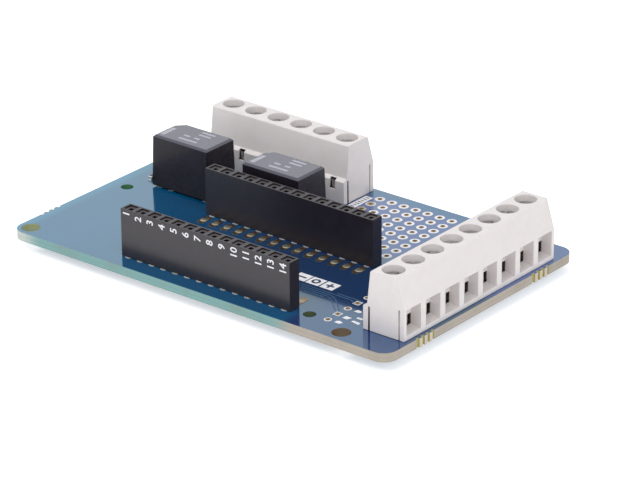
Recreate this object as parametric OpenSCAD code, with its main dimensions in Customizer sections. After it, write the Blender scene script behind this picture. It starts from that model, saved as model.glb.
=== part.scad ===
// Relay module board: a bare board that carries two relays, a pair of plug-in socket strips,
// an eight-way and a six-way screw terminal block, and a field of prototyping holes.
// Frame: origin in the middle of the board's outline, level with the tips of the leads that it
// stands on. +X runs along the board, towards the eight-way block, +Y towards the six-way
// block, and +Z is up. Millimetres.

/* [Board] */
// Length of the board, along X
board_l = 79.5; // [79:0.5:100]
// Width of the board, along Y
board_w = 50.5; // [46:0.5:70]
// Thickness of the board
board_t = 1.6; // [1:0.1:2.4]
// Radius of the board's corners
corner_r = 2.5; // [1:0.25:4]
// How far every lead stands out below the board
lead_tail = 1.8; // [1:0.1:3]

/* [Board holes] */
// Diameter of the four fixing holes
fixing_d = 3.2; // [2.5:0.1:3.4]
// Distance from a long edge, and from the left edge, to the middle of a fixing hole
fixing_inset = 2.4; // [2.2:0.1:3]
// Gap between the eight-way block and the fixing holes beside it
fixing_gap = 0.3; // [0.2:0.1:1.5]
// Diameter of the two locating holes of the plug-in board
locator_d = 2.2; // [1.5:0.1:2.4]
// Distance from the socket strips' left end to the left locating hole
locator_left = 18.3; // [14:0.1:18.5]
// Distance from the socket strips' right end to the right locating hole
locator_right = 2.95; // [2:0.05:3]
// Length along the edge of each break-off tab's remains
tab_l = 3.9; // [3:0.1:6]
// Distance of each tab from the board's middle line
tab_offset = 15.4; // [10:0.1:17]
// How far the tabs' stubs stand out of the edge
tab_stub = 0.15; // [0.1:0.05:0.5]

/* [Lands] */
// Thickness of the copper lands
land_t = 0.05; // [0.03:0.01:0.1]
// Bore of the prototyping holes
proto_bore = 0.75; // [0.6:0.05:0.8]
// Diameter of the prototyping holes' lands
proto_land = 0.95; // [0.95:0.05:1.6]
// Columns of prototyping holes
proto_cols = 7; // [2:1:7]
// Rows of prototyping holes, as far as there is room in front of the rear socket
proto_rows = 8; // [2:1:8]
// Distance from the back edge to the first row of prototyping holes
proto_inset = 3; // [2:0.1:4]
// Distance from the six-way block's end to the first column of prototyping holes
proto_gap = 3.1; // [2.6:0.1:4]
// Bore of the plated holes for the socket leads
socket_bore = 1; // [0.9:0.05:1.2]
// Width of the oval lands along the sockets
oval_w = 1.5; // [1.3:0.05:1.8]
// Length of the oval lands along the sockets
oval_l = 3; // [2.2:0.1:3]
// Distance from a socket's leads to its row of breakout lands
breakout_offset = 3.15; // [3.1:0.05:4]

/* [Sockets] */
// Distance between the leads of a socket
pin_pitch = 2.54; // [2.2:0.02:2.54]
// Ways in each socket
socket_ways = 14; // [4:1:14]
// Width of the socket bodies
socket_w = 2.4; // [2.3:0.05:2.6]
// Height of the socket bodies
socket_h = 8.45; // [7:0.05:11]
// Distance from the front edge to the front socket's leads
socket_inset = 4.42; // [4:0.02:6]
// Distance between the two sockets
socket_spacing = 21.28; // [20.32:0.02:21.6]
// Side of the square recess at the mouth of each way
mouth_side = 1.8; // [1.4:0.05:1.9]
// Depth of the recess at the mouth of each way
mouth_depth = 0.3; // [0.2:0.05:1]
// Side of the hole that a pin enters
throat_side = 0.8; // [0.7:0.05:1]
// Side of the square socket leads
socket_lead = 0.6; // [0.4:0.05:0.64]

/* [Relays] */
// Length of a relay at its foot
relay_l = 12.3; // [11:0.1:13.5]
// Width of a relay at its foot
relay_w = 7.5; // [6.5:0.1:7.8]
// Height of a relay's cover
relay_h = 9.2; // [8:0.1:12]
// Gap under a relay's cover
relay_standoff = 0.3; // [0.2:0.05:0.5]
// How much each side of a relay's cover leans in
relay_draft = 0.2; // [0:0.05:0.4]
// Width, along a relay's top, of the cut corner that marks its first lead
relay_corner = 2.5; // [1:0.1:3]
// Distance between the two relays' middles
relay_pitch = 19.85; // [19:0.05:24]
// Distance from the left edge to the first relay's middle
relay_inset = 13.05; // [12:0.05:13.5]
// Gap between the rear socket and the relays
relay_gap = 1.2; // [0.8:0.1:4]
// Diameter of a relay's leads
relay_lead = 0.7; // [0.5:0.05:0.9]
// Distance from a relay's ends to its outer leads
relay_end_inset = 1.07; // [1.05:0.01:1.5]
// Distance from a relay's long sides to its leads
relay_side_inset = 1.21; // [1.1:0.01:2]
// Distance between the first two leads in each of a relay's rows
relay_lead_step = 2.54; // [2:0.02:5]

/* [Screw terminals] */
// Distance between the poles of a terminal block
pole_pitch = 5; // [4.9:0.02:5.2]
// Poles of the block at the right edge
side_poles = 8; // [2:1:8]
// Poles of the block at the back edge
rear_poles = 6; // [2:1:6]
// Distance from an edge of the board to a block's wire side
block_inset = 0.85; // [0.4:0.05:1.5]
// Distance from the board's middle to the eight-way block's middle
side_block_offset = 0.24; // [0:0.02:1]
// Distance from the left edge to the six-way block's end
rear_block_inset = 8; // [7.5:0.1:9]
// Height of a block
block_h = 10.45; // [9.5:0.05:12]
// Distance from a block's screws to its wire side
block_front = 4; // [3.8:0.05:4.4]
// Distance from a block's screws to its rear foot
block_rear = 4.14; // [4:0.02:4.4]
// Height at which a block's wire side starts to lean back
front_brow = 5.35; // [4.9:0.05:5.6]
// Diameter of the hole over each clamp screw
screw_bore = 3.75; // [3.6:0.05:4]
// Width of each wire entry
entry_w = 3.7; // [3.5:0.05:4]
// Depth of each wire entry's funnel
entry_depth = 2; // [1.7:0.05:2.2]
// Diameter of the clamp screws' heads
head_d = 3.5; // [3:0.05:3.6]
// Height of the clamp screws' heads
head_h = 1.7; // [1.2:0.1:2]
// Distance from a block's top down to its screw heads
head_depth = 1.15; // [0.8:0.05:2]
// Diameter of the clamp screws' shanks
shank_d = 2.4; // [2.2:0.1:2.5]
// Thickness of a clamp's walls
clamp_wall = 0.3; // [0.25:0.05:0.5]
// Diameter of the blocks' solder pins
block_pin_d = 1; // [0.8:0.05:1.1]

/* [Driver parts] */
// Length of a chip resistor or status lamp
chip_l = 1.6; // [1.4:0.1:2]
// Width of a chip resistor or status lamp
chip_w = 0.8; // [0.6:0.05:1]
// Height of a chip resistor or status lamp
chip_h = 0.5; // [0.4:0.05:0.7]
// Length of a driver transistor's body
transistor_l = 2.9; // [2.6:0.1:3.1]
// Length of a diode's body
diode_l = 1.8; // [1.6:0.1:2]

/* [Hidden] */
$fn = 32;
eps = 0.01;

// Levels
under = lead_tail;                  // underside of the board
top = under + board_t;              // upper side of the board
seat = top + land_t;                // upper side of the lands, on which everything sits
solder_fillet = 0.8;                // how far the solder climbs down a lead under the board
half_l = board_l / 2;
half_w = board_w / 2;
through = 1;                        // how far a cutter stands out past what it cuts
tab_holes = 4;                      // drilled holes along each break-off tab
tab_pitch = tab_l / (tab_holes - 1);
tab_hole_d = 0.5 * tab_pitch;

// Sockets
socket_l = socket_ways * pin_pitch;
front_socket_y = socket_inset - half_w;
rear_socket_y = front_socket_y + socket_spacing;
chamber_side = 1.6;                 // hollow that holds a contact, filled by its foot
chamber_roof = 1.4;                 // plastic between a contact and the recess at its mouth
chamber_h = socket_h - mouth_depth - chamber_roof;
contact_foot_h = 1;
leaf_w = 1.2;
leaf_t = 0.25;
leaf_pinch = 0.2;                   // half the gap between a contact's springs
leaf_h = 0.65 * chamber_h;          // height of the pinch over the board

// Terminal blocks, in a frame of their own: poles along +X, wire side towards -Y
rear_block_end = rear_block_inset - half_l + rear_poles * pole_pitch;
side_block_x = half_l - block_inset - block_front;
side_block_y = side_block_offset - side_poles * pole_pitch / 2;
rear_block_y = half_w - block_inset - block_front;
crown_front = 2.45;                 // from the screws to the top's wire-side edge
crown_rear = 2.68;                  // from the screws to the top's rear edge
neck_rear = 3.33;                   // from the screws to the rear wall, over the foot
neck_z = 4.55;
foot_z = 4.12;                      // height of the rear foot's vertical face
bevel = 0.22;                       // bevel along the top's long edges
groove_w = 0.35;                    // grooves in the block's left end
groove_depth = 0.4;
groove_y = 2.97;

// Inside a pole
head_z = block_h - head_depth - head_h;
clamp_clear = 0.1;                  // play between the metal and the body
entry_wall = 0.3;                   // plastic between a wire entry's funnel and the clamp
entry_low = 0.8;                    // wire entry's mouth
entry_high = front_brow - 0.12;
entry_sill = 1.1;                   // inner end of the funnel
entry_roof = 3.8;
entry_lintel = 3;                   // top of the window between the funnel and the clamp
hollow_w = entry_w;
clamp_w = hollow_w - 0.7;
clamp_front_y = entry_depth + entry_wall - block_front + clamp_clear;
clamp_rear_y = -clamp_front_y;
clamp_roof = 1.2;                   // thickness of a clamp's threaded roof
clamp_low = 0.5;
clamp_drop = 2.3;                   // from a screw's head down to the clamp, with the clamp open
clamp_high = head_z - clamp_drop;
hollow_high = clamp_high + 0.6;
bar_t = 0.6;                        // contact bar, which passes through the clamp
bar_clear = 0.2;                    // play of the bar in the clamp, at each side
bar_w = clamp_w - 2 * (clamp_wall + bar_clear);
bar_z = clamp_high - clamp_roof - clamp_clear;
bar_end_y = clamp_front_y + bar_clear;
stem_w = 1.3;                       // stem behind the clamp, which carries the bar
stem_t = 0.7;
stem_y = clamp_rear_y + bar_clear + clamp_clear + stem_t / 2;
heel_w = 0.9;                       // bent end of the bar, which fills the window behind the pole
heel_t = 0.5;
heel_h = 1.4;
heel_y = block_rear - 0.55;         // rear face of the heel
window_w = 1.2;                     // window behind each pole
window_low = 2.5;
window_high = 4.4;
screw_slot_w = 0.6;
screw_slot_depth = 0.7;
screw_turn = 37;                    // each screw's slot is turned this far past the last one's
block_pin_bore = block_pin_d + 0.4;
block_land_d = block_pin_bore + 1;

// Relays
relay_y = rear_socket_y + (socket_w + relay_w) / 2 + relay_gap;
left_relay_x = relay_inset - half_l;
right_relay_x = left_relay_x + relay_pitch;
relay_x = [left_relay_x, right_relay_x];
relay_lead_reach = relay_l / 2 - relay_end_inset;
relay_lead_x = [-relay_lead_reach, relay_lead_step - relay_lead_reach, relay_lead_reach];
relay_lead_y = relay_w / 2 - relay_side_inset;
relay_bore = relay_lead + 0.3;
relay_land_d = relay_bore + 0.8;
relay_wall = 0.6;                   // rim of a cover, round its base
relay_base_t = 0.9;
relay_bevel = 0.35;                 // bevel along a cover's upper edges
relay_corner_depth = 1.4 * relay_corner;
relay_foot_side = 1;
relay_foot_inset = 3;               // from a base's end to its feet
relay_tail_gap = 0.3;               // relay leads end this far over the others' tips

// Prototyping field and the row of holes beside the eight-way block
proto_x = rear_block_end + proto_gap;
proto_y = half_w - proto_inset;
proto_front_y = rear_socket_y + (oval_l + proto_land) / 2;
proto_rows_fit = min(proto_rows, 1 + floor((proto_y - proto_front_y) / pin_pitch));
side_pads = 5;
side_pad_gap = 6.55;                // from the eight-way block to the row's middle
side_pad_x = side_block_x - block_rear - side_pad_gap;
side_pad_y = front_socket_y + 0.4;
side_pad_bore = 0.7;
side_pad_land = 0.95;

// Fixing and locating holes
fixing_x = [fixing_inset - half_l, side_block_x - block_rear - fixing_gap - fixing_d / 2];
fixing_y = [fixing_inset - half_w, half_w - fixing_inset];
locator_dy = [-0.54, 0.12];         // the locating holes from their sockets' lines
locator_points = [
  [-socket_l / 2 - locator_left, rear_socket_y + locator_dy[0]],
  [socket_l / 2 + locator_right, front_socket_y + locator_dy[1]]];

// Driver parts: a column of them for each relay, side by side between the relays
driver_x = (left_relay_x + right_relay_x) / 2;
driver_column = 1.55;               // from the middle to each column
driver_columns = [driver_x - driver_column, driver_x + driver_column];
transistor_w = 1.3;
transistor_h = 1;
transistor_lead_dy = 0.95;          // from a transistor's middle to its paired leads
diode_w = 1.25;
diode_h = 0.95;
lead_slope = 0.25;                  // how far a surface lead slopes down before its foot
lead_foot = 0.3;                    // length of a surface lead's foot
lead_foot_t = 0.15;
lead_w = 0.4;
body_lift = 0.1;                    // gap under a moulded body
cap_l = 0.3;                        // length of a chip's end caps
chip_land = 0.8;                    // side of the square lands under the parts
transistor_dy = 2.15;               // places in a column, from its middle
diode_dx = -0.45;
diode_dy = -1.35;
resistor_dx = 0.75;
resistor_dy = [-0.45, -2.65];
end_chip_gap = 1.85;                // from the left relay to the resistor beside it
end_chip_x = left_relay_x - relay_l / 2 - end_chip_gap - chip_w / 2;
end_chip_y = relay_y - 1.15;
relay_rear_y = relay_y + relay_w / 2;
rear_block_inner_y = rear_block_y - block_rear;
lamp_y = (relay_rear_y + rear_block_inner_y) / 2; // lamps lie midway between relays and rear block

// ---- points that repeat ---------------------------------------------------------------

function way_x(k) = (k - (socket_ways - 1) / 2) * pin_pitch;
function pole_x(k) = (k + 0.5) * pole_pitch;

module at_ways(y) {
  for (k = [0 : socket_ways - 1]) translate([way_x(k), y, 0]) children();
}

module at_socket_leads() {
  for (y = [front_socket_y, rear_socket_y]) at_ways(y) children();
}

module at_breakouts() {
  for (y = [front_socket_y + breakout_offset, rear_socket_y - breakout_offset])
    at_ways(y) children();
}

module at_leads_of_relay(x) {
  for (dx = relay_lead_x, dy = [-relay_lead_y, relay_lead_y])
    translate([x + dx, relay_y + dy, 0]) children();
}

module at_relay_leads() {
  for (x = relay_x) at_leads_of_relay(x) children();
}

module in_side_block() {
  translate([side_block_x, side_block_y, 0]) rotate(90) children();
}

module in_rear_block() {
  translate([rear_block_end, rear_block_y, 0]) rotate(180) children();
}

module at_poles(poles) {
  for (k = [0 : poles - 1]) translate([pole_x(k), 0, 0]) children();
}

module at_block_pins() {
  in_side_block() at_poles(side_poles) translate([0, stem_y, 0]) children();
  in_rear_block() at_poles(rear_poles) translate([0, stem_y, 0]) children();
}

module at_proto_holes() {
  for (i = [0 : proto_cols - 1], j = [0 : proto_rows_fit - 1])
    translate([proto_x + i * pin_pitch, proto_y - j * pin_pitch, 0]) children();
}

module at_side_pads() {
  for (k = [0 : side_pads - 1])
    translate([side_pad_x, side_pad_y + k * pin_pitch, 0]) children();
}

module at_fixings() {
  for (x = fixing_x, y = fixing_y) translate([x, y, 0]) children();
}

module at_drivers() {
  for (x = driver_columns) translate([x, relay_y, 0]) children();
}

// A profile in the YZ plane, run along +X
module run_along_x(length) {
  rotate([90, 0, 90]) linear_extrude(length) children();
}

// A box centred in X and Y that stands on z
module post(size_x, size_y, z, h) {
  translate([-size_x / 2, -size_y / 2, z]) cube([size_x, size_y, h]);
}

// ---- board ----------------------------------------------------------------------------

module board_outline() {
  square([board_l - 2 * corner_r, board_w], center = true);
  square([board_l, board_w - 2 * corner_r], center = true);
  for (sx = [-1, 1], sy = [-1, 1])
    translate([sx * (half_l - corner_r), sy * (half_w - corner_r)]) circle(corner_r, $fn = 64);
  for (sx = [-1, 1], sy = [-1, 1])
    translate([sx * half_l, sy * tab_offset]) square([2 * tab_stub, tab_l], center = true);
}

module board_holes() {
  at_fixings() circle(d = fixing_d, $fn = 48);
  for (p = locator_points) translate(p) circle(d = locator_d, $fn = 48);
  at_proto_holes() circle(d = proto_bore + 2 * land_t);
  at_socket_leads() circle(d = socket_bore + 2 * land_t);
  at_breakouts() circle(d = socket_bore + 2 * land_t);
  at_side_pads() circle(d = side_pad_bore + 2 * land_t);
  at_relay_leads() circle(d = relay_bore + 2 * land_t);
  at_block_pins() circle(d = block_pin_bore + 2 * land_t);
  for (sx = [-1, 1], sy = [-1, 1], k = [0 : tab_holes - 1])
    translate([sx * half_l, sy * tab_offset + (k - (tab_holes - 1) / 2) * tab_pitch])
      circle(d = tab_hole_d, $fn = 16);
}

module circuit_board() {
  color("#1b4a86") translate([0, 0, under]) linear_extrude(board_t) difference() {
    board_outline();
    board_holes();
  }
}

// ---- plated holes and lands -----------------------------------------------------------

// A plated hole: its barrel, with a round land on each side of the board
module round_land(bore, land_d) {
  barrel_r = bore / 2 + land_t;
  translate([0, 0, under]) rotate_extrude() polygon([
    [bore / 2, -land_t], [land_d / 2, -land_t], [land_d / 2, 0], [barrel_r, 0],
    [barrel_r, board_t], [land_d / 2, board_t], [land_d / 2, board_t + land_t],
    [bore / 2, board_t + land_t]]);
}

// A plated hole with a long, round-ended land on each side of the board
module oval_land(bore) {
  barrel_d = bore + 2 * land_t;
  straight = oval_l - oval_w;
  translate([0, 0, under]) difference() {
    union() {
      cylinder(d = barrel_d, h = board_t);
      for (z = [-land_t, board_t]) translate([0, 0, z]) linear_extrude(land_t) {
        square([oval_w, straight], center = true);
        for (s = [-1, 1]) translate([0, s * straight / 2]) circle(d = oval_w);
      }
    }
    translate([0, 0, -through]) cylinder(d = bore, h = board_t + 2 * through);
  }
}

module proto_lands() {
  color("#c8a860") at_proto_holes() round_land(proto_bore, proto_land);
}

module socket_lands() {
  color("#c8a860") at_socket_leads() oval_land(socket_bore);
}

module breakout_lands() {
  color("#c8a860") at_breakouts() oval_land(socket_bore);
}

module side_lands() {
  color("#c8a860") at_side_pads() round_land(side_pad_bore, side_pad_land);
}

module relay_lands() {
  color("#c8a860") at_relay_leads() round_land(relay_bore, relay_land_d);
}

module terminal_lands() {
  color("#c8a860") at_block_pins() round_land(block_pin_bore, block_land_d);
}

module flat_land() {
  post(chip_land, chip_land, top, land_t);
}

module chip_lands() {
  color("#c8a860") {
    at_drivers() {
      at_transistor_leads() translate([0, lead_foot, 0]) flat_land();
      at_diode_feet() flat_land();
    }
    at_resistors() at_chip_ends() flat_land();
    at_lamps() at_chip_ends() flat_land();
  }
}

// ---- solder ---------------------------------------------------------------------------

// Fills a plated hole round a lead, with a fillet under the board. The lead is the child
module solder_joint(bore, land_d) {
  height = board_t + 2 * land_t;
  neck = 0.1;
  translate([0, 0, under - land_t]) difference() {
    rotate_extrude() polygon([
      [0, -solder_fillet], [bore / 2 - neck, -solder_fillet], [bore / 2, -solder_fillet / 2],
      [land_d / 2 - neck, 0], [bore / 2, 0], [bore / 2, height], [0, height]]);
    children();
  }
}

// What a lead takes out of its solder joint
module round_lead(d) {
  translate([0, 0, -solder_fillet - through]) cylinder(d = d, h = board_t + solder_fillet + 2 * through);
}

module socket_solder() {
  color("#c9ccce") at_socket_leads() solder_joint(socket_bore, oval_w)
    post(socket_lead, socket_lead, -solder_fillet - through, board_t + solder_fillet + 2 * through);
}

module relay_solder() {
  color("#c9ccce") at_relay_leads() solder_joint(relay_bore, relay_land_d) round_lead(relay_lead);
}

module terminal_solder() {
  color("#c9ccce") at_block_pins() solder_joint(block_pin_bore, block_land_d) round_lead(block_pin_d);
}

// A breakout hole is filled with solder that domes over both lands
module breakout_solder() {
  dome_r = oval_w / 2 - 0.05;
  dome_h = 0.15;
  height = board_t + 2 * land_t;
  arc = [for (a = [0 : 22.5 : 90]) [dome_r * cos(a), dome_h * sin(a)]];
  color("#d9d3bb") at_breakouts() translate([0, 0, under - land_t]) rotate_extrude()
    polygon(concat(
      [for (p = arc) [p[0], height + p[1]]],
      [for (i = [len(arc) - 1 : -1 : 0]) [arc[i][0], -arc[i][1]]],
      [[socket_bore / 2, 0], [socket_bore / 2, height]]));
}

// ---- plug-in sockets ------------------------------------------------------------------

module socket_body(y) {
  throat_h = chamber_roof + 2;
  difference() {
    translate([0, y, 0]) post(socket_l, socket_w, seat, socket_h);
    at_ways(y) {
      post(mouth_side, mouth_side, seat + socket_h - mouth_depth, 1);
      post(throat_side, throat_side, seat + chamber_h - 1, throat_h);
      post(chamber_side, chamber_side, seat - 1, chamber_h + 1);
    }
  }
}

// A contact's foot and lead, with two springs that close on a pin
module socket_contact() {
  outer = chamber_side / 2 - 0.05;
  translate([0, 0, seat]) {
    post(chamber_side, chamber_side, 0, contact_foot_h);
    for (s = [0, 180]) rotate(s) translate([-leaf_w / 2, 0, 0]) run_along_x(leaf_w) polygon([
      [outer - leaf_t, contact_foot_h - 0.2], [outer, contact_foot_h - 0.2],
      [outer, contact_foot_h + 0.6], [leaf_pinch + leaf_t, leaf_h],
      [outer, leaf_h + 0.9], [outer - leaf_t, leaf_h + 0.9], [leaf_pinch, leaf_h],
      [outer - leaf_t, contact_foot_h + 0.6]]);
  }
  post(socket_lead, socket_lead, 0, seat + eps);
}

module socket_contacts(y) {
  at_ways(y) socket_contact();
}

module front_socket_body() {
  color("#3a393d") socket_body(front_socket_y);
}

module rear_socket_body() {
  color("#3a393d") socket_body(rear_socket_y);
}

module front_socket_contacts() {
  color("#d8c078") socket_contacts(front_socket_y);
}

module rear_socket_contacts() {
  color("#d8c078") socket_contacts(rear_socket_y);
}

// ---- relays ---------------------------------------------------------------------------

// A side view of a relay's cover: it leans in and its upper edges are bevelled
module relay_view(width) {
  foot = width / 2;
  crown = foot - relay_draft;
  polygon([
    [-foot, 0], [foot, 0], [crown, relay_h - relay_bevel], [crown - relay_bevel, relay_h],
    [relay_bevel - crown, relay_h], [-crown, relay_h - relay_bevel]]);
}

// What is sliced off the upper corner at a relay's first lead, to be placed at that corner
module relay_corner_slice() {
  slope = relay_corner_depth / (relay_corner / sqrt(2));
  reach = 2 * relay_corner;
  rotate(45) translate([-reach, 0, 0]) run_along_x(2 * reach) polygon([
    [-relay_corner / sqrt(2) - 1, slope], [1, -relay_corner_depth - slope], [reach, 0], [reach, slope]]);
}

module relay_base_plan() {
  square([relay_l - 2 * relay_wall, relay_w - 2 * relay_wall], center = true);
}

module relay_cover(x) {
  translate([x, relay_y, seat + relay_standoff]) difference() {
    intersection() {
      translate([-relay_l, 0, 0]) run_along_x(2 * relay_l) relay_view(relay_w);
      rotate(90) translate([-relay_w, 0, 0]) run_along_x(2 * relay_w) relay_view(relay_l);
    }
    translate([0, 0, -eps]) linear_extrude(relay_base_t + eps) relay_base_plan();
    translate([-relay_l / 2, relay_w / 2, relay_h]) relay_corner_slice();
  }
}

// The base closes the cover, is bored for the leads and stands on four small feet
module relay_base(x) {
  foot_x = relay_l / 2 - relay_wall - relay_foot_inset;
  foot_y = relay_w / 2 - relay_wall - relay_foot_side / 2;
  difference() {
    translate([x, relay_y, seat + relay_standoff]) {
      linear_extrude(relay_base_t) relay_base_plan();
      for (sx = [-1, 1], sy = [-1, 1]) translate([sx * foot_x, sy * foot_y, 0])
        post(relay_foot_side, relay_foot_side, -relay_standoff, relay_standoff + eps);
    }
    at_leads_of_relay(x) translate([0, 0, seat]) cylinder(d = relay_lead, h = relay_base_t + 1);
  }
}

module relay_leads(x) {
  at_leads_of_relay(x) translate([0, 0, relay_tail_gap])
    cylinder(d = relay_lead, h = seat - relay_tail_gap + relay_standoff + relay_base_t);
}

module left_relay_cover() {
  color("#2b2c30") relay_cover(left_relay_x);
}

module left_relay_base() {
  color("#1f1f22") relay_base(left_relay_x);
}

module left_relay_leads() {
  color("#c9ccce") relay_leads(left_relay_x);
}

module right_relay_cover() {
  color("#2b2c30") relay_cover(right_relay_x);
}

module right_relay_base() {
  color("#1f1f22") relay_base(right_relay_x);
}

module right_relay_leads() {
  color("#c9ccce") relay_leads(right_relay_x);
}

// ---- screw terminal blocks ------------------------------------------------------------

module block_profile() {
  polygon([
    [-block_front, 0], [-block_front, front_brow],
    [-crown_front - bevel / 2, block_h - bevel], [-crown_front + bevel / 2, block_h],
    [crown_rear - bevel, block_h], [crown_rear, block_h - bevel],
    [neck_rear, neck_z], [block_rear, foot_z], [block_rear, 0]]);
}

// A wire entry, seen from the end: a funnel, and a window through to the clamp
module entry_profile() {
  funnel_y = entry_depth - block_front;
  window_y = funnel_y + entry_wall + eps;
  polygon([
    [-block_front - 1, entry_low], [-block_front, entry_low],
    [funnel_y, entry_sill], [window_y, entry_sill], [window_y, entry_lintel],
    [funnel_y, entry_lintel], [funnel_y, entry_roof], [-block_front, entry_high],
    [-block_front - 1, entry_high]]);
}

// What one pole's screw, clamp and contact take out of the body
module pole_hollow() {
  translate([0, 0, head_z]) cylinder(d = screw_bore, h = block_h);
  cylinder(d = shank_d + 0.3, h = head_z + 1);
  translate([-hollow_w / 2, clamp_front_y - clamp_clear, -1])
    cube([hollow_w, clamp_rear_y - clamp_front_y + 2 * clamp_clear, hollow_high + 1]);
  translate([-stem_w / 2 - clamp_clear, 0, -1])
    cube([stem_w + 2 * clamp_clear, heel_y + clamp_clear, bar_z + clamp_clear + 1]);
  translate([-window_w / 2, stem_y, window_low])
    cube([window_w, block_rear, window_high - window_low]);
}

module block_body(poles) {
  translate([0, 0, seat]) difference() {
    run_along_x(poles * pole_pitch) block_profile();
    at_poles(poles) {
      translate([-entry_w / 2, 0, 0]) run_along_x(entry_w) entry_profile();
      pole_hollow();
    }
    for (groove = [[-groove_y, front_brow - 0.2], [groove_y, foot_z]])
      translate([-1, groove[0] - groove_w / 2, -1]) cube([groove_depth + 1, groove_w, groove[1] + 1]);
  }
}

// A clamp is a short square tube with a threaded roof
module block_clamp() {
  depth = clamp_rear_y - clamp_front_y;
  inner_w = clamp_w - 2 * clamp_wall;
  difference() {
    post(clamp_w, depth, seat + clamp_low, clamp_high - clamp_low);
    post(inner_w, depth + 1, seat + clamp_low + clamp_wall,
      clamp_high - clamp_low - clamp_wall - clamp_roof);
    translate([0, 0, seat + clamp_high - clamp_roof - 1]) cylinder(d = shank_d, h = clamp_roof + 2);
  }
}

module block_screw(turn) {
  translate([0, 0, seat]) rotate(turn) difference() {
    union() {
      translate([0, 0, head_z]) cylinder(d = head_d, h = head_h);
      translate([0, 0, bar_z]) cylinder(d = shank_d, h = head_z - bar_z + eps);
    }
    post(head_d + 1, screw_slot_w, head_z + head_h - screw_slot_depth, 1);
  }
}

// The contact: a bar through the clamp with a bent heel, a stem behind the clamp and a pin
// through the board
module block_pin() {
  translate([0, 0, seat]) {
    translate([-bar_w / 2, bar_end_y, bar_z - bar_t]) cube([bar_w, clamp_rear_y - bar_end_y, bar_t]);
    translate([-heel_w / 2, bar_end_y, bar_z - bar_t]) cube([heel_w, heel_y - bar_end_y, bar_t]);
    translate([0, heel_y - heel_t / 2, 0]) post(heel_w, heel_t, bar_z - heel_h, heel_h);
    translate([0, stem_y, 0]) post(stem_w, stem_t, 0, bar_z);
  }
  translate([0, stem_y, 0]) cylinder(d = block_pin_d, h = seat + eps);
}

module block_screws(poles) {
  for (k = [0 : poles - 1]) translate([pole_x(k), 0, 0]) block_screw(k * screw_turn);
}

module side_terminal_body() {
  color("#d8d5d3") in_side_block() block_body(side_poles);
}

module side_terminal_clamps() {
  color("#b9b3a2") in_side_block() at_poles(side_poles) block_clamp();
}

module side_terminal_screws() {
  color("#b4b6b8") in_side_block() block_screws(side_poles);
}

module side_terminal_pins() {
  color("#b9b3a2") in_side_block() at_poles(side_poles) block_pin();
}

module rear_terminal_body() {
  color("#d8d5d3") in_rear_block() block_body(rear_poles);
}

module rear_terminal_clamps() {
  color("#b9b3a2") in_rear_block() at_poles(rear_poles) block_clamp();
}

module rear_terminal_screws() {
  color("#b4b6b8") in_rear_block() block_screws(rear_poles);
}

module rear_terminal_pins() {
  color("#b9b3a2") in_rear_block() at_poles(rear_poles) block_pin();
}

// ---- relay drivers --------------------------------------------------------------------

// Where a transistor's leads leave it, turned to point away: two at the left, one at the right
module at_transistor_leads() {
  translate([0, transistor_dy, 0]) {
    for (s = [-1, 1]) translate([-transistor_w / 2, s * transistor_lead_dy, 0]) rotate(90) children();
    translate([transistor_w / 2, 0, 0]) rotate(-90) children();
  }
}

module at_diode_feet() {
  translate([diode_dx, diode_dy, 0]) for (s = [-1, 1])
    translate([0, s * (diode_l / 2 + lead_foot / 2), 0]) children();
}

// The drivers' resistors, and one more at the left relay's end
module at_resistors() {
  at_drivers() for (dy = resistor_dy) translate([resistor_dx, dy, 0]) rotate(90) children();
  translate([end_chip_x, end_chip_y, 0]) rotate(90) children();
}

module at_lamps() {
  for (x = relay_x) translate([x, lamp_y, 0]) children();
}

// Children stand on a chip's two ends
module at_chip_ends() {
  for (s = [-1, 1]) translate([s * (chip_l - cap_l) / 2, 0, 0]) children();
}

// A moulded body along +X, with a parting line at half its height
module moulded_body(length, width, height) {
  draft = 0.1;
  translate([-length / 2, 0, 0]) run_along_x(length) polygon([
    [draft - width / 2, 0], [width / 2 - draft, 0], [width / 2, height / 2],
    [width / 2 - draft, height], [draft - width / 2, height], [-width / 2, height / 2]]);
}

module transistor_bodies() {
  color("#26262a") at_drivers() translate([0, transistor_dy, seat + body_lift]) rotate(90)
    moulded_body(transistor_l, transistor_w, transistor_h - body_lift);
}

// A bent lead that leaves a body's waist towards +Y and lies flat on its land
module bent_lead() {
  waist = body_lift + (transistor_h - body_lift) / 2;
  reach = lead_slope + lead_foot;
  translate([-lead_w / 2, 0, 0]) run_along_x(lead_w) polygon([
    [0, waist - lead_foot_t / 2], [0, waist + lead_foot_t / 2], [lead_slope, lead_foot_t],
    [reach, lead_foot_t], [reach, 0], [lead_slope - lead_foot_t, 0]]);
}

module transistor_leads() {
  color("#c9ccce") translate([0, 0, seat]) at_drivers() at_transistor_leads() bent_lead();
}

module diode_bodies() {
  color("#26262a") at_drivers() translate([diode_dx, diode_dy, seat + lead_foot_t]) rotate(90)
    moulded_body(diode_l, diode_w, diode_h);
}

// Flat leads that run in under the diode's two ends
module diode_leads() {
  color("#c9ccce") at_drivers() translate([diode_dx, diode_dy, 0]) for (s = [-1, 1])
    translate([0, s * diode_l / 2, 0]) post(lead_w, 2 * lead_foot, seat, lead_foot_t);
}

module resistor_chips() {
  color("#3a3a3f") at_resistors() post(chip_l - 2 * cap_l, chip_w, seat, chip_h);
}

module lamp_chips() {
  color("#e8e2b8") at_lamps() post(chip_l - 2 * cap_l, chip_w, seat, chip_h);
}

module chip_end_caps() {
  color("#c9ccce") {
    at_resistors() at_chip_ends() post(cap_l, chip_w, seat, chip_h);
    at_lamps() at_chip_ends() post(cap_l, chip_w, seat, chip_h);
  }
}

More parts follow.
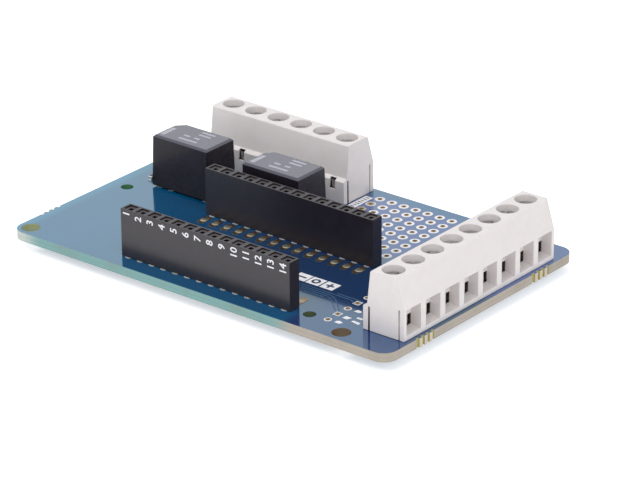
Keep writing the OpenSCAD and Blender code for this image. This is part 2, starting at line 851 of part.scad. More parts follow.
circuit_board();
proto_lands();
socket_lands();
breakout_lands();
side_lands();
relay_lands();
terminal_lands();
chip_lands();
front_socket_body();
front_socket_contacts();
rear_socket_body();
rear_socket_contacts();
socket_solder();
breakout_solder();
left_relay_cover();
left_relay_base();
left_relay_leads();
right_relay_cover();
right_relay_base();
right_relay_leads();
relay_solder();
side_terminal_body();
side_terminal_clamps();
side_terminal_screws();
side_terminal_pins();
rear_terminal_body();
rear_terminal_clamps();
rear_terminal_screws();
rear_terminal_pins();
terminal_solder();
transistor_bodies();
transistor_leads();
diode_bodies();
diode_leads();
resistor_chips();
lamp_chips();
chip_end_caps();
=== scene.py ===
"""Looks of the relay module board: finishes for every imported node, and the ink, traces and other
thin surface detail that the CAD model leaves out.

Lengths are metres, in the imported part's frame."""

import math

import bpy
from mathutils import Matrix, Quaternion, Vector


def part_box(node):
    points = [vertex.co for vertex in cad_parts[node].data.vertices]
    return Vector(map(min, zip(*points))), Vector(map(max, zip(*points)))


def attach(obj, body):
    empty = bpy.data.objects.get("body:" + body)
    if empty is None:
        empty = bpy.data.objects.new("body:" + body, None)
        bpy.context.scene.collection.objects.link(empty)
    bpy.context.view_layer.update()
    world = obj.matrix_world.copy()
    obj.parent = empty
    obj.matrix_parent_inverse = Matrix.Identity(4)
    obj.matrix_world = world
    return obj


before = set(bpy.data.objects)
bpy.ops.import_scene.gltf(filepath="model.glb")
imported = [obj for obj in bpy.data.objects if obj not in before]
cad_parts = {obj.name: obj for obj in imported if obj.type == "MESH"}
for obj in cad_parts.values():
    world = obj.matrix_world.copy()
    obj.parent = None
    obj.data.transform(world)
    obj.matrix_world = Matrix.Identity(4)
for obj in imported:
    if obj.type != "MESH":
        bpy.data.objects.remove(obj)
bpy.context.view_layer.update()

MM = 0.001
PITCH = 2.54 * MM                     # of the sockets and of the prototyping field
WAYS = 14                             # of a socket strip
SIDE_PADS = 5                         # lands in the row by the eight-way block
INK_T = 0.02 * MM                     # thickness of printed ink
LAND_T = 0.04 * MM                    # thickness of the gold round two prototyping holes
TRACE_T = 0.035 * MM                  # how far the mask stands up over a trace
TRACE_W = 0.17 * MM                   # width of a trace
ARC_STEPS = 32                        # segments of a full circle
END_STEPS = 12                        # segments of a trace's round end
FIGURE_SHARE = 0.7                    # height of a figure, as a share of the font's size
BOARD_LOW, BOARD_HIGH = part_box("circuit_board")
BOARD_TOP = BOARD_HIGH.z
STRIP_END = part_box("front_socket_body")[1].x


# ---- shader nodes ------------------------------------------------------------------------

def new_material(name):
    material = bpy.data.materials.new(name)
    material.use_nodes = True
    tree = material.node_tree
    return material, tree, tree.nodes["Principled BSDF"]


def put(tree, socket, value):
    """Links an output to a socket, or sets the socket to a value."""
    if isinstance(value, bpy.types.NodeSocket):
        tree.links.new(value, socket)
    elif isinstance(value, (tuple, list)) and len(value) == 3 and socket.type == "RGBA":
        socket.default_value = (*value, 1)
    else:
        socket.default_value = value


def math_node(tree, operation, first, second):
    node = tree.nodes.new("ShaderNodeMath")
    node.operation = operation
    for socket, value in zip(node.inputs, (first, second)):
        put(tree, socket, value)
    return node.outputs[0]


def product(tree, first, second):
    return math_node(tree, "MULTIPLY", first, second)


def magnitude(tree, value):
    return math_node(tree, "ABSOLUTE", value, 0)


def ramp(tree, value, low, high, to_low=0, to_high=1):
    """Runs smoothly from to_low, where the value is low, to to_high, where it is high."""
    node = tree.nodes.new("ShaderNodeMapRange")
    node.interpolation_type = "SMOOTHSTEP"
    put(tree, node.inputs["Value"], value)
    names = ("From Min", "From Max", "To Min", "To Max")
    for name, number in zip(names, (low, high, to_low, to_high)):
        node.inputs[name].default_value = number
    return node.outputs[0]


def mix(tree, amount, first, second):
    """The first colour where the amount is 0 and the second where it is 1."""
    node = tree.nodes.new("ShaderNodeMix")
    node.data_type = "RGBA"
    put(tree, node.inputs["Factor"], amount)
    put(tree, node.inputs[6], first)
    put(tree, node.inputs[7], second)
    return node.outputs[2]


def split_xyz(tree, vector):
    node = tree.nodes.new("ShaderNodeSeparateXYZ")
    put(tree, node.inputs[0], vector)
    return node.outputs["X"], node.outputs["Y"], node.outputs["Z"]


def object_point(tree):
    return tree.nodes.new("ShaderNodeTexCoord").outputs["Object"]


def facing(tree):
    """How far the surface faces along X, Y and Z."""
    return split_xyz(tree, tree.nodes.new("ShaderNodeNewGeometry").outputs["Normal"])


def noise(tree, size, detail=3.0):
    """Noise whose largest features are about that size, in metres."""
    node = tree.nodes.new("ShaderNodeTexNoise")
    put(tree, node.inputs["Vector"], object_point(tree))
    node.inputs["Scale"].default_value = 1 / size
    node.inputs["Detail"].default_value = detail
    return node.outputs["Fac"]


def bump(tree, height, depth, normal=None):
    """A bump of that depth, in metres."""
    node = tree.nodes.new("ShaderNodeBump")
    node.inputs["Distance"].default_value = depth
    put(tree, node.inputs["Height"], height)
    if normal is not None:
        put(tree, node.inputs["Normal"], normal)
    return node.outputs["Normal"]


def soft_edges(tree, radius):
    node = tree.nodes.new("ShaderNodeBevel")
    node.samples = 6
    node.inputs["Radius"].default_value = radius
    return node.outputs["Normal"]


def painted_shade_mask(tree, reach):
    """Mask of painted shade: 1 inside a hollow of about that width, 0 where the surface is open or
    stands by a wall.
    """
    node = tree.nodes.new("ShaderNodeAmbientOcclusion")
    node.samples = 8
    node.inputs["Distance"].default_value = reach
    return ramp(tree, node.outputs["AO"], 0.30, 0.45, 1, 0)


def seen_directly(tree):
    """1 for rays that the camera, a reflection or a transparent surface sends out, else 0."""
    path = tree.nodes.new("ShaderNodeLightPath")
    camera, glossy, through = (
        path.outputs["Is %s Ray" % kind] for kind in ("Camera", "Glossy", "Transmission"))
    return math_node(tree, "MAXIMUM", math_node(tree, "MAXIMUM", camera, glossy), through)


# ---- camera, lights and floor ------------------------------------------------------------

def make_camera():
    place = Vector((360.48, -437.54, 256.26)) * MM
    aim = Vector((3.94, 2.79, 3.40)) * MM
    roll = math.radians(-0.46)
    camera = bpy.data.objects.new("camera", bpy.data.cameras.new("camera"))
    camera.data.lens = 210.9
    camera.data.sensor_width = 36
    camera.data.clip_start = 0.01
    level = (aim - place).to_track_quat("-Z", "Y")
    camera.location = place
    camera.rotation_mode = "QUATERNION"
    camera.rotation_quaternion = level @ Quaternion((0, 0, 1), roll)
    bpy.context.scene.collection.objects.link(camera)
    bpy.context.scene.camera = camera


def make_world():
    """A pale sky: at full strength where it is seen or mirrored, and weaker as light."""
    ambient, backdrop = 0.62, 1
    world = bpy.data.worlds.new("studio")
    world.use_nodes = True
    bpy.context.scene.world = world
    tree = world.node_tree
    background = tree.nodes["Background"]
    background.inputs["Color"].default_value = (0.97, 0.985, 1, 1)
    strength = tree.nodes.new("ShaderNodeMapRange")
    put(tree, strength.inputs["Value"], seen_directly(tree))
    strength.inputs["To Min"].default_value = ambient
    strength.inputs["To Max"].default_value = backdrop
    put(tree, background.inputs["Strength"], strength.outputs[0])


def make_light(name, place, size, energy):
    """A round area light that faces the object, and that glossy surfaces don't mirror."""
    lamp = bpy.data.lights.new(name, "AREA")
    lamp.shape = "DISK"
    lamp.size = size
    lamp.energy = energy
    light = bpy.data.objects.new(name, lamp)
    light.visible_glossy = False
    light.location = Vector(place)
    light.rotation_mode = "QUATERNION"
    light.rotation_quaternion = (-light.location).to_track_quat("-Z", "Y")
    bpy.context.scene.collection.objects.link(light)


def make_floor():
    """A matt floor at the tips of the leads, brighter where it is seen or mirrored."""
    half, glow = 3, 0.50
    mesh = bpy.data.meshes.new("floor")
    corners = [(-half, -half, 0), (half, -half, 0), (half, half, 0), (-half, half, 0)]
    mesh.from_pydata(corners, [], [(0, 1, 2, 3)])
    floor = bpy.data.objects.new("floor", mesh)
    bpy.context.scene.collection.objects.link(floor)
    material, tree, shader = new_material("floor")
    shader.inputs["Base Color"].default_value = (0.9, 0.9, 0.9, 1)
    shader.inputs["Roughness"].default_value = 1
    shader.inputs["Specular IOR Level"].default_value = 0
    shader.inputs["Emission Color"].default_value = (1, 1, 1, 1)
    put(tree, shader.inputs["Emission Strength"], product(tree, seen_directly(tree), glow))
    mesh.materials.append(material)


# ---- the board's finish ------------------------------------------------------------------

def mask_finish():
    """Glossy blue solder mask, in several tones on the top, which are partly its own colour and
    partly painted reflection, and in one on the underside.

    The board's edges and the walls of its holes show the bare laminate."""
    underside = (0.003, 0.045, 0.135)
    laminate_roughness, mask_roughness = 0.6, 0.12
    material, tree, shader = new_material("blue_mask")
    x, y = split_xyz(tree, object_point(tree))[:2]
    upward = facing(tree)[2]
    # The top's tones are partly the mask's own colour and partly painted reflection.
    color = mix(tree, ramp(tree, upward, -0.5, 0.5), underside, mask_tone_with_painted_reflection(tree, x, y))
    edge = mix(tree, in_holes(tree, x, y), edge_tone(tree, x, y), hole_tone(tree, x, y))
    flat = ramp(tree, magnitude(tree, upward), 0.4, 0.6)
    put(tree, shader.inputs["Base Color"], mix(tree, flat, edge, color))
    roughness = ramp(tree, flat, 0, 1, laminate_roughness, mask_roughness)
    put(tree, shader.inputs["Roughness"], roughness)
    coat_start = BOARD_LOW.x + 0.25 * (BOARD_HIGH.x - BOARD_LOW.x)
    coat = ramp(tree, x, coat_start, BOARD_HIGH.x, 1, 0.55)
    put(tree, shader.inputs["Coat Weight"], product(tree, flat, coat))
    shader.inputs["Coat Roughness"].default_value = 0.03
    shader.inputs["Coat IOR"].default_value = 1.45
    shader.inputs["IOR"].default_value = 1.9
    shader.inputs["Specular Tint"].default_value = (0.2, 0.8, 1, 1)
    put(tree, shader.inputs["Normal"], bump(tree, noise(tree, 1.2 * MM), 0.0012 * MM))
    return material


def mask_tone_with_painted_reflection(tree, x, y):
    """The tones of the top: teal at the left and along the long edges, cyan on the left rim, indigo
    at the front right, violet by the field and in the far right corner, and navy elsewhere. Laid
    out by place on the board, they are partly the mask's own colour and partly painted reflection."""
    navy = (0.004, 0.030, 0.110)
    teal = (0.001, 0.088, 0.214)
    violet = (0.060, 0.078, 0.27)
    cyan = (0.010, 0.20, 0.34)
    indigo = (0.012, 0.030, 0.135)
    deep = tuple(0.6 * part for part in navy)
    low, high = BOARD_LOW, BOARD_HIGH
    length = high.x - low.x
    field_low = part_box("proto_lands")[0]

    left = ramp(tree, x, low.x + 0.10 * length, low.x + 0.60 * length, 1, 0)
    front = ramp(tree, y, low.y + 3.5 * MM, low.y + 6 * MM, 1, 0)
    before_end = ramp(tree, x, STRIP_END + 0.5 * MM, STRIP_END + 3 * MM, 0.9, 0)
    teal_part = math_node(tree, "MAXIMUM", left, product(tree, front, before_end))
    color = mix(tree, teal_part, navy, teal)

    by_field = product(tree, ramp(tree, x, field_low.x - 8 * MM, field_low.x + 2 * MM),
                       ramp(tree, y, field_low.y - 6 * MM, field_low.y + 2 * MM))
    color = mix(tree, by_field, color, violet)
    back = ramp(tree, y, high.y - 3.4 * MM, high.y - 1.2 * MM, 0, 0.8)
    color = mix(tree, back, color, teal)
    left_rim = ramp(tree, x, low.x + 0.8 * MM, low.x + 2.6 * MM, 0.7, 0)
    color = mix(tree, left_rim, color, cyan)

    front_right = product(tree, ramp(tree, x, STRIP_END, STRIP_END + 4 * MM),
                          ramp(tree, y, low.y + 9 * MM, low.y + 14 * MM, 1, 0))
    color = mix(tree, front_right, color, indigo)
    far_corner = product(tree, ramp(tree, x, high.x - 9 * MM, high.x - 2 * MM),
                         ramp(tree, y, high.y - 9 * MM, high.y - 4 * MM))
    color = mix(tree, far_corner, color, violet)
    return mix(tree, ramp(tree, noise(tree, 9 * MM), 0.35, 0.65, 0, 0.10), color, deep)


def edge_tone(tree, x, y):
    """Bare laminate: pale at the left end, then greenish, and sandy at the right.

    The ends have pale break-off teeth, and the right end golden notches between them."""
    green = (0.21, 0.36, 0.34)
    sandy = (0.46, 0.365, 0.295)
    pale = (0.60, 0.60, 0.55)
    resin = (0.25, 0.17, 0.09)
    notches = (0.44, 0.36, 0.10)
    tips = (0.62, 0.50, 0.38)
    tab_y, tab_half = 15.4 * MM, 2.2 * MM
    end = BOARD_HIGH.x

    color = mix(tree, ramp(tree, x, STRIP_END - 2 * MM, STRIP_END + 4 * MM), green, sandy)
    at_left = ramp(tree, x, BOARD_LOW.x + 2 * MM, BOARD_LOW.x + 7 * MM, 1, 0)
    color = mix(tree, at_left, color, pale)
    weave = tree.nodes.new("ShaderNodeTexWave")
    weave.bands_direction = "Z"
    put(tree, weave.inputs["Vector"], object_point(tree))
    weave.inputs["Scale"].default_value = 1 / (2.4 * MM)      # bands about 0.75 mm apart
    weave.inputs["Distortion"].default_value = 1.5
    color = mix(tree, ramp(tree, weave.outputs["Fac"], 0.2, 0.8, 0, 0.16), color, resin)
    color = mix(tree, ramp(tree, noise(tree, 5 * MM), 0.45, 0.7, 0, 0.25), color, resin)

    from_tab = magnitude(tree, math_node(tree, "SUBTRACT", magnitude(tree, y), tab_y))
    near_tab = ramp(tree, from_tab, tab_half, tab_half + 0.15 * MM, 1, 0)
    at_end = ramp(tree, magnitude(tree, x), end - 0.8 * MM, end - 0.7 * MM)
    teeth = mix(tree, ramp(tree, x, end - 0.14 * MM, end - 0.06 * MM), notches, tips)
    teeth = mix(tree, ramp(tree, x, 0, 1 * MM), tips, teeth)
    return mix(tree, product(tree, near_tab, at_end), color, teeth)


def hole_tone(tree, x, y):
    """The walls of the holes: green at the left, olive further on and brown at the right.

    The wall of the hole in the front left corner is a pale yellow."""
    green = (0.07, 0.19, 0.07)
    olive = (0.085, 0.095, 0.03)
    brown = (0.17, 0.085, 0.025)
    yellow = (0.36, 0.36, 0.17)
    color = mix(tree, ramp(tree, x, -20 * MM, 15 * MM), green, olive)
    color = mix(tree, ramp(tree, x, 23 * MM, 26 * MM), color, brown)
    corner = product(tree, ramp(tree, x, BOARD_LOW.x + 6 * MM, BOARD_LOW.x + 7 * MM, 1, 0),
                     ramp(tree, y, BOARD_LOW.y + 7 * MM, BOARD_LOW.y + 8 * MM, 1, 0))
    return mix(tree, corner, color, yellow)


def in_holes(tree, x, y):
    """0 by the board's outer edge, else 1."""
    blend = 0.02 * MM
    amount = 1
    for place, reach in ((x, BOARD_HIGH.x - 0.95 * MM), (y, BOARD_HIGH.y - 0.7 * MM)):
        inside = ramp(tree, magnitude(tree, place), reach - blend, reach + blend, 1, 0)
        amount = product(tree, inside, amount)
    return amount


# ---- the other finishes ------------------------------------------------------------------

def surface(name, color, shade, roughness, grain, grain_depth, edge=0.0, **constants):
    """A finish with two tones in soft patches, uneven gloss and a fine grain.

    color and shade are the two tones, roughness its range, grain and grain_depth the size and depth
    of the bumps, edge the radius of soft edges, and constants the other sockets of the shader, with
    underscores for the spaces in their names."""
    material, tree, shader = new_material(name)
    patches = ramp(tree, noise(tree, 14 * grain), 0.35, 0.65)
    put(tree, shader.inputs["Base Color"], mix(tree, patches, color, shade))
    uneven = ramp(tree, noise(tree, 6 * grain), 0.3, 0.7, *roughness)
    put(tree, shader.inputs["Roughness"], uneven)
    for socket, value in constants.items():
        put(tree, shader.inputs[socket.replace("_", " ")], value)
    normal = soft_edges(tree, edge) if edge else None
    put(tree, shader.inputs["Normal"], bump(tree, noise(tree, grain), grain_depth, normal))
    return material, tree, shader


def base_color(shader):
    """The output that now feeds the shader's base colour."""
    return shader.inputs["Base Color"].links[0].from_socket


def gold_finish():
    return surface("plated_gold", (0.66, 0.54, 0.38), (0.54, 0.43, 0.29), (0.22, 0.4),
                   0.12 * MM, 0.002 * MM, Metallic=0.6)[0]


def dull_gold_finish():
    return surface("dull_gold", (0.44, 0.33, 0.20), (0.34, 0.25, 0.16), (0.3, 0.45),
                   0.12 * MM, 0.002 * MM, Metallic=1.0)[0]


def tinned_land_finish():
    return surface("tinned_land", (0.66, 0.65, 0.62), (0.56, 0.55, 0.52), (0.25, 0.35),
                   0.15 * MM, 0.003 * MM, Metallic=0.35)[0]


def solder_finish():
    return surface("solder", (0.62, 0.56, 0.44), (0.48, 0.42, 0.32), (0.42, 0.55),
                   0.15 * MM, 0.005 * MM, Metallic=1.0)[0]


def socket_finish():
    """Black plastic. The floors of the recesses, round the contacts, are a little paler."""
    floor = (0.10, 0.088, 0.092)
    material, tree, shader = surface(
        "socket_black", (0.014, 0.010, 0.015), (0.017, 0.012, 0.018), (0.28, 0.34),
        0.12 * MM, 0.0012 * MM, edge=0.08 * MM, IOR=1.55)
    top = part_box("front_socket_body")[1].z
    z = split_xyz(tree, object_point(tree))[2]
    sunk = product(tree, ramp(tree, z, top - 0.25 * MM, top - 0.15 * MM, 1, 0),
                   ramp(tree, facing(tree)[2], 0.3, 0.7))
    put(tree, shader.inputs["Base Color"], mix(tree, sunk, base_color(shader), floor))
    return material


def contact_finish():
    return surface("contact_gold", (0.80, 0.66, 0.38), (0.66, 0.52, 0.28), (0.25, 0.4),
                   0.2 * MM, 0.002 * MM, Metallic=1.0)[0]


def relay_finish():
    """Black plastic whose top, which faces the sky, has more gloss than its sides, and a bluer tone
    painted on it as a reflection of the sky.
    """
    top = (0.020, 0.019, 0.052)
    material, tree, shader = surface(
        "relay_black", (0.013, 0.011, 0.016), (0.017, 0.014, 0.021), (0.24, 0.32),
        0.15 * MM, 0.0012 * MM, edge=0.3 * MM, IOR=1.28, Coat_Roughness=0.12, Coat_IOR=1.9)
    gloss_and_painted_sky = ramp(tree, facing(tree)[2], 0.3, 0.9)
    put(tree, shader.inputs["Coat Weight"], ramp(tree, gloss_and_painted_sky, 0, 1, 0.05, 1))
    # Painted reflection: the top takes a bluer tone for the sky it mirrors.
    put(tree, shader.inputs["Base Color"], mix(tree, gloss_and_painted_sky, base_color(shader), top))
    return material


def relay_base_finish():
    return surface("relay_base_black", (0.010, 0.010, 0.011), (0.014, 0.014, 0.015), (0.4, 0.5),
                   0.15 * MM, 0.003 * MM)[0]


def tinned_finish():
    return surface("tinned_metal", (0.80, 0.79, 0.77), (0.66, 0.65, 0.63), (0.15, 0.35),
                   0.2 * MM, 0.003 * MM, Metallic=1.0)[0]


def terminal_finish():
    """Off-white plastic, with painted shade that darkens it in the hollows behind the wire entries,
    below the screws.
    """
    shadow = (0.020, 0.015, 0.011)
    pale_depth, dark_below = 2.0 * MM, BOARD_TOP + 4.6 * MM
    material, tree, shader = surface(
        "terminal_plastic", (0.765, 0.72, 0.71), (0.745, 0.70, 0.69), (0.34, 0.42),
        0.14 * MM, 0.002 * MM, edge=0.18 * MM)
    x, y, z = split_xyz(tree, object_point(tree))
    side_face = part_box("side_terminal_body")[1].x
    rear_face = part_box("rear_terminal_body")[1].y
    amount = painted_shade_mask(tree, 4 * MM)
    for place, face in ((x, side_face), (y, rear_face)):
        behind = ramp(tree, place, face - pale_depth - 0.1 * MM, face - pale_depth, 1, 0)
        amount = product(tree, amount, behind)
    amount = product(tree, amount, ramp(tree, z, dark_below, dark_below + 0.2 * MM, 1, 0))
    # Painted shade: the shadow tone fills the hollows behind the wire entries, below the screws.
    put(tree, shader.inputs["Base Color"], mix(tree, amount, base_color(shader), shadow))
    shader.inputs["Subsurface Weight"].default_value = 0.08
    shader.inputs["Subsurface Radius"].default_value = (1.2, 1.0, 0.8)
    shader.inputs["Subsurface Scale"].default_value = 0.6 * MM
    return material


def clamp_finish():
    """Dull brass, brighter on the rim at the wire side; inside the clamp, painted shade makes it
    almost black.
    """
    dark = (0.012, 0.009, 0.006)
    material, tree, shader = surface(
        "clamp_metal", (0.78, 0.68, 0.50), (0.66, 0.57, 0.42), (0.4, 0.5),
        0.2 * MM, 0.003 * MM, edge=0.06 * MM, Metallic=1.0)
    side_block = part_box("side_terminal_body")[0].x
    x = split_xyz(tree, object_point(tree))[0]
    across, along = (magnitude(tree, part) for part in facing(tree)[:2])
    in_side_block = ramp(tree, x, side_block - 0.1 * MM, side_block)
    rim = ramp(tree, mix(tree, in_side_block, along, across), 0.5, 0.8)
    # Painted shade: faces that don't face the wire side take the near-black tone.
    put(tree, shader.inputs["Base Color"], mix(tree, rim, dark, base_color(shader)))
    return material


def pin_finish():
    """Tinned under the board and at the heel in a block's rear windows; between, painted shade
    makes it a near-black brass.
    """
    brass_in_painted_shade = (0.10, 0.08, 0.05)
    tin = (0.80, 0.78, 0.74)
    material, tree, shader = surface(
        "pin_metal", (0.80, 0.79, 0.77), (0.66, 0.65, 0.63), (0.2, 0.4),
        0.2 * MM, 0.003 * MM, Metallic=1.0)
    x, y, z = split_xyz(tree, object_point(tree))
    inside = ramp(tree, z, 3.2 * MM, 3.6 * MM)
    # Painted shade: above the board the pin takes a near-black brass tone, except at the heel.
    color = mix(tree, inside, base_color(shader), brass_in_painted_shade)
    side_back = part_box("side_terminal_body")[0].x
    rear_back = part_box("rear_terminal_body")[0].y
    for place, back in ((x, side_back), (y, rear_back)):
        heel = product(tree, ramp(tree, place, back + 0.3 * MM, back + 0.4 * MM),
                       ramp(tree, place, back + 1.15 * MM, back + 1.25 * MM, 1, 0))
        color = mix(tree, product(tree, heel, inside), color, tin)
    put(tree, shader.inputs["Base Color"], color)
    return material


def screw_finish():
    return surface("screw_metal", (0.55, 0.54, 0.53), (0.42, 0.41, 0.40), (0.22, 0.4),
                   0.25 * MM, 0.003 * MM, edge=0.08 * MM, Metallic=1.0)[0]


def chip_finish():
    return surface("chip_black", (0.02, 0.02, 0.022), (0.03, 0.03, 0.033), (0.35, 0.5),
                   0.1 * MM, 0.003 * MM, edge=0.05 * MM)[0]


def lamp_finish():
    return surface("lamp_body", (0.80, 0.77, 0.58), (0.74, 0.70, 0.50), (0.2, 0.3),
                   0.2 * MM, 0.002 * MM, edge=0.05 * MM)[0]


def ink_finish(name, tone):
    shade = tuple(0.95 * part for part in tone)
    return surface(name, tone, shade, (0.4, 0.5), 0.08 * MM, 0.002 * MM)[0]


def trace_finish():
    """The mask where it rises over a trace: lighter than round it, and less of a mirror."""
    return surface("masked_trace", (0.055, 0.125, 0.24), (0.045, 0.105, 0.20), (0.36, 0.44),
                   0.4 * MM, 0.001 * MM, IOR=1.35)[0]


FINISHES = {
    mask_finish: ["circuit_board"],
    gold_finish: ["proto_lands", "side_lands"],
    dull_gold_finish: ["breakout_lands"],
    tinned_land_finish: ["socket_lands", "relay_lands", "terminal_lands", "chip_lands"],
    solder_finish: ["socket_solder", "breakout_solder", "relay_solder", "terminal_solder"],
    socket_finish: ["front_socket_body", "rear_socket_body"],
    contact_finish: ["front_socket_contacts", "rear_socket_contacts"],
    relay_finish: ["left_relay_cover", "right_relay_cover"],
    relay_base_finish: ["left_relay_base", "right_relay_base"],
    tinned_finish: ["left_relay_leads", "right_relay_leads", "transistor_leads", "diode_leads",
                    "chip_end_caps"],
    pin_finish: ["side_terminal_pins", "rear_terminal_pins"],
    terminal_finish: ["side_terminal_body", "rear_terminal_body"],
    clamp_finish: ["side_terminal_clamps", "rear_terminal_clamps"],
    screw_finish: ["side_terminal_screws", "rear_terminal_screws"],
    chip_finish: ["transistor_bodies", "diode_bodies", "resistor_chips"],
    lamp_finish: ["lamp_chips"],
}


def finish_nodes():
    for make, nodes in FINISHES.items():
        material = make()
        for name in nodes:
            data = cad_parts[name].data
            data.materials.clear()
            data.materials.append(material)


# ---- thin shapes -------------------------------------------------------------------------

class Sheet:
    """Gathers flat shapes of one thickness that lie on the board, or on another plane."""

    def __init__(self, low, thickness):
        self.low = low
        self.high = low + thickness
        self.points = []
        self.faces = []

    def prism(self, outline):
        """A plate with that outline, which is convex and runs anticlockwise."""
        start = len(self.points)
        count = len(outline)
        self.points += [(x, y, self.low) for x, y in outline]
        self.points += [(x, y, self.high) for x, y in outline]
        self.faces.append([start + count + k for k in range(count)])
        self.faces.append([start + k for k in reversed(range(count))])
        for k in range(count):
            after = (k + 1) % count
            self.faces.append([start + k, start + after,
                               start + count + after, start + count + k])

    def frame(self, outer, inner):
        """A plate between two outlines with as many points each, both anticlockwise."""
        start = len(self.points)
        count = len(outer)
        for z in (self.low, self.high):
            for outline in (outer, inner):
                self.points += [(x, y, z) for x, y in outline]
        low_out, low_in, high_out, high_in = (start + count * k for k in range(4))
        for k in range(count):
            after = (k + 1) % count
            self.faces.append([high_out + k, high_out + after, high_in + after, high_in + k])
            self.faces.append([low_out + after, low_out + k, low_in + k, low_in + after])
            self.faces.append([low_out + k, low_out + after, high_out + after, high_out + k])
            self.faces.append([low_in + after, low_in + k, high_in + k, high_in + after])

    def ring(self, x, y, outer_r, inner_r):
        self.frame(circle(x, y, outer_r), circle(x, y, inner_r))

    def box_frame(self, x, y, half, line):
        """A square frame whose line has that width."""
        self.frame(rectangle(x, y, half, half), rectangle(x, y, half - line, half - line))

    def bar(self, start, end, width):
        """A straight stroke with square ends."""
        a, b = Vector(start), Vector(end)
        side = (b - a).normalized().orthogonal() * width / 2
        self.prism([a - side, b - side, b + side, a + side])

    def path(self, points, width):
        """A stroke along some points, with round corners and ends."""
        for a, b in zip(points, points[1:]):
            self.bar(a, b, width)
        for x, y in points:
            self.prism(circle(x, y, width / 2, END_STEPS))

    def build(self, name, material):
        mesh = bpy.data.meshes.new(name)
        mesh.from_pydata([tuple(point) for point in self.points], [], self.faces)
        mesh.validate()
        add_piece(name, mesh, material)


def circle(x, y, radius, steps=ARC_STEPS):
    turns = [2 * math.pi * k / steps for k in range(steps)]
    return [(x + radius * math.cos(a), y + radius * math.sin(a)) for a in turns]


def rectangle(x, y, half_x, half_y):
    return [(x - half_x, y - half_y), (x + half_x, y - half_y),
            (x + half_x, y + half_y), (x - half_x, y + half_y)]


def in_metres(outline):
    return [(x * MM, y * MM) for x, y in outline]


def add_piece(name, mesh, material):
    mesh.materials.append(material)
    piece = bpy.data.objects.new(name, mesh)
    bpy.context.scene.collection.objects.link(piece)
    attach(piece, "root")


# ---- what lies on the board --------------------------------------------------------------

def make_field_rings(ink, gold):
    """A white ring round each prototyping hole. Two holes at the left have larger gold lands, and
    the second of these has no ring."""
    ring_r = 0.89 * MM
    large_lands = {1: 0.72 * MM, 2: 0.82 * MM}     # radius by row, in the first column
    no_ring = (0, 2)                               # column and row
    low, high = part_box("proto_lands")
    columns = round((high.x - low.x) / PITCH) + 1
    rows = round((high.y - low.y) / PITCH) + 1
    land_r = (high.x - low.x - (columns - 1) * PITCH) / 2
    rings = Sheet(BOARD_TOP, INK_T)
    lands = Sheet(BOARD_TOP, LAND_T)
    for column in range(columns):
        for row in range(rows):
            x = low.x + land_r + column * PITCH
            y = high.y - land_r - row * PITCH
            inner_r = land_r
            if column == 0 and row in large_lands:
                inner_r = large_lands[row]
                lands.ring(x, y, inner_r, land_r)
            if (column, row) != no_ring:
                rings.ring(x, y, ring_r, inner_r)
    rings.build("field_rings", ink)
    lands.build("large_field_lands", gold)


def make_side_pad_marks(ink):
    """White outlines round the lands by the eight-way block, round and square in turn."""
    half_square, ring_r = 0.62 * MM, 0.65 * MM
    low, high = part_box("side_lands")
    x = (low.x + high.x) / 2
    land_r = (high.x - low.x) / 2
    sheet = Sheet(BOARD_TOP, INK_T)
    for k in range(SIDE_PADS):
        y = low.y + land_r + k * PITCH
        if k % 2:
            sheet.box_frame(x, y, half_square, half_square - land_r)
        else:
            sheet.ring(x, y, ring_r, land_r)
    sheet.build("side_pad_marks", ink)


# Plain white shapes beside the lands near the eight-way block, in mm
PAD_MARKS = (
    ((25.6, -15.6), (26.6, -15.6), (26.9, -15.2), (26.5, -14.8), (25.8, -14.8)),
    ((25.6, -18.6), (26.6, -18.6), (26.95, -17.75), (25.75, -17.7)),
    ((25.6, -20.6), (26.6, -20.6), (26.9, -20.0), (26.1, -19.7), (25.7, -20.0)),
    ((27.6, -18.8), (29.3, -19.1), (29.2, -18.4), (27.7, -18.3)),
    ((27.5, -17.4), (28.6, -17.4), (28.6, -16.9), (27.5, -16.9)),
    ((16.0, -18.2), (17.2, -18.2), (17.2, -17.1), (16.4, -17.1)),
)


def make_marks(ink, dark):
    """Plain boxes, bars and signs where a board of this kind has printed words."""
    sheet = Sheet(BOARD_TOP, INK_T)
    signs = Sheet(BOARD_TOP + INK_T, INK_T)

    minus_x, ring_x, plus_x = 10.93 * MM, 13.76 * MM, 16.66 * MM
    icon_y = -10.4 * MM
    half_x, half_y = 1.3 * MM, 1.25 * MM
    stroke, arm = 0.40 * MM, 0.80 * MM
    for x in (minus_x, ring_x, plus_x):
        sheet.prism(rectangle(x, icon_y, half_x, half_y))
    signs.bar((minus_x - arm, icon_y), (minus_x + arm, icon_y), stroke)
    signs.ring(ring_x, icon_y, arm, arm - stroke)
    signs.bar((plus_x - arm, icon_y), (plus_x + arm, icon_y), stroke)
    for side in (-1, 1):
        signs.bar((plus_x, icon_y + side * stroke / 2), (plus_x, icon_y + side * arm), stroke)

    label_x, label_y = -0.62 * MM, 19.25 * MM
    half_width, half_length = 0.8 * MM, 2.65 * MM
    line_gap, line_width = 0.7 * MM, 0.2 * MM
    sheet.prism(rectangle(label_x, label_y, half_width, half_length))
    for k, half_line in enumerate((0.42, 0.3, 0.42, 0.42, 0.3, 0.42, 0.36)):
        y = label_y + (k - 3) * line_gap
        reach = half_line * MM
        signs.bar((label_x - reach, y), (label_x + reach, y), line_width)

    for outline in PAD_MARKS:
        sheet.prism(in_metres(outline))
    sheet.build("board_marks", ink)
    signs.build("board_signs", dark)


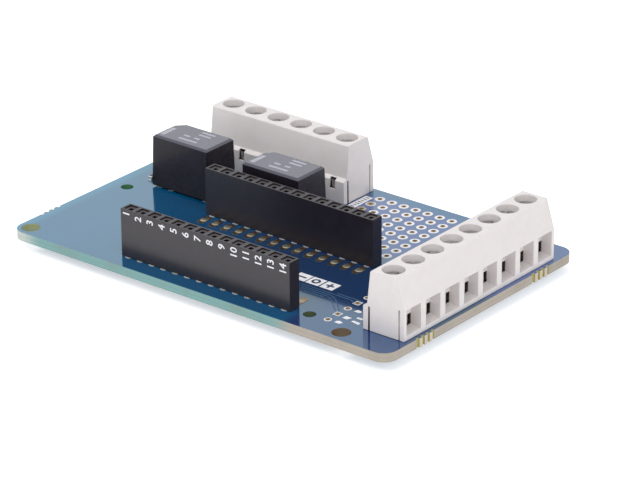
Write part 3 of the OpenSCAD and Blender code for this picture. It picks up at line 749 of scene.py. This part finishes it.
# The middles of the traces that the mask shows beside the sockets, in mm
TRACES = (
    ((-9.5, -16.0), (-7.1, -13.1), (12.7, -13.1), (19.1, -13.1), (20.3, -13.7), (22.5, -15.7),
     (23.5, -16.7)),
    ((-4.4, -16.0), (-2.2, -13.7), (13.3, -13.7), (18.9, -13.7), (20.0, -14.3), (22.9, -17.0)),
    ((-14.5, -16.0), (-11.9, -12.5), (12.2, -12.5), (19.3, -12.5), (22.6, -12.5), (23.8, -13.2)),
    ((0.7, -16.0), (2.4, -14.3), (14.0, -14.3), (18.5, -14.3)),
    ((19.3, -11.9), (24.5, -11.9), (26.2, -13.2)),
)


def make_traces(material):
    sheet = Sheet(BOARD_TOP, TRACE_T)
    for run in TRACES:
        sheet.path(in_metres(run), TRACE_W)
    sheet.build("traces", material)


def text_mesh(words, height):
    curve = bpy.data.curves.new("text", "FONT")
    curve.body = words
    curve.size = height / FIGURE_SHARE
    curve.align_x = "CENTER"
    curve.align_y = "CENTER"
    curve.extrude = INK_T / 2
    curve.offset = 0.02 * height
    curve.resolution_u = 3
    holder = bpy.data.objects.new("text", curve)
    bpy.context.scene.collection.objects.link(holder)
    bpy.context.view_layer.update()
    graph = bpy.context.evaluated_depsgraph_get()
    mesh = bpy.data.meshes.new_from_object(holder.evaluated_get(graph))
    bpy.data.objects.remove(holder)
    bpy.data.curves.remove(curve)
    return mesh


def make_way_numbers(ink):
    """A plain number for each way of the front socket, reading upwards."""
    height, top_gap = 1.35 * MM, 0.55 * MM
    turn = Matrix.Rotation(math.pi / 2, 4, "X") @ Matrix.Rotation(math.pi / 2, 4, "Z")
    low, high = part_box("front_socket_body")
    way = (high.x - low.x) / WAYS
    for k in range(WAYS):
        mesh = text_mesh(str(k + 1), height)
        across = [vertex.co.x for vertex in mesh.vertices]
        length = max(across) - min(across)
        x = low.x + way * (k + 0.5)
        spot = Matrix.Translation((x, low.y - INK_T / 2, high.z - top_gap - length / 2))
        mesh.transform(spot @ turn)
        add_piece("way_number_%d" % (k + 1), mesh, ink)


# Lines of a relay's print, in mm: y and the start's x from the cover's middle, and the length
RELAY_LINES = (
    (-1.9, -1.6, 4.0),
    (-0.5, -1.6, 1.4),
    (-0.5, 0.7, 1.2),
    (1.1, 0.4, 2.6),
    (2.2, 0.2, 2.9),
)


def make_relay_prints(ink):
    """A bar along the left end of each relay's top, and plain lines where it has its data."""
    bar_inset, bar_width = 1.35 * MM, 0.9 * MM
    front_gap, back_gap = 1.2 * MM, 2.9 * MM
    line_width = 0.55 * MM
    for side in ("left", "right"):
        low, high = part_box(side + "_relay_cover")
        middle_x, middle_y = (low.x + high.x) / 2, (low.y + high.y) / 2
        sheet = Sheet(high.z, INK_T)
        bar_x = low.x + bar_inset
        sheet.bar((bar_x, low.y + front_gap), (bar_x, high.y - back_gap), bar_width)
        for from_middle, start_x, length in RELAY_LINES:
            start = middle_x + start_x * MM
            y = middle_y + from_middle * MM
            sheet.bar((start, y), (start + length * MM, y), line_width)
        sheet.build(side + "_relay_print", ink)


make_camera()
make_world()
make_light("key", place=(-0.20, -0.42, 0.86), size=1.0, energy=4.7)
make_light("fill", place=(0.76, -0.36, 0.42), size=0.9, energy=3.0)
make_floor()
finish_nodes()
white = ink_finish("white_ink", (0.88, 0.87, 0.90))
make_field_rings(white, bpy.data.materials["plated_gold"])
make_side_pad_marks(white)
make_marks(white, ink_finish("dark_ink", (0.02, 0.04, 0.09)))
make_traces(trace_finish())
make_way_numbers(white)
make_relay_prints(ink_finish("grey_ink", (0.42, 0.42, 0.48)))

scene = bpy.context.scene
scene.view_settings.view_transform = "Standard"
